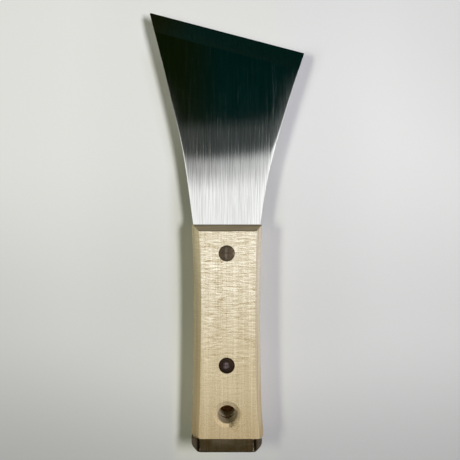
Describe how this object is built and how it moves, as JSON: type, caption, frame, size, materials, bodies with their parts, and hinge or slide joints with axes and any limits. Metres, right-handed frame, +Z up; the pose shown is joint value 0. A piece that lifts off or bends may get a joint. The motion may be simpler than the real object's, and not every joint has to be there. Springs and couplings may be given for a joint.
{
  "type": "hand scraper",
  "caption": "Hand scraper with a slanted stainless blade, full tang between riveted wooden scales, hanging hole and steel butt cap.",
  "frame": {"origin": "below the middle of the scraper's box, on the surface that the back of its handle rests on", "axes": "+Z up out of the front of the blade, +Y from the butt towards the cutting edge, +X towards the short corner of the blade"},
  "size_m": [0.0728, 0.2032, 0.0175],
  "materials": {
    "blade_steel": "stainless sheet, brushed along its length, ground along the cutting edge",
    "front_wood": "pale straight-grained hardwood, sanded, bare",
    "rear_wood": "pale straight-grained hardwood, sanded, bare",
    "rivet_steel": "browned steel, set flush by hammering",
    "cap_steel": "browned steel sheet, pressed to shape"
  },
  "bodies": {
    "root": {"blade": "blade_steel", "front_scale": "front_wood", "rear_scale": "rear_wood", "blade_rivet_socket": "rivet_steel", "blade_rivet_stud": "rivet_steel", "butt_rivet_socket": "rivet_steel", "butt_rivet_stud": "rivet_steel", "butt_cap": "cap_steel"}
  },
  "joints": []
}
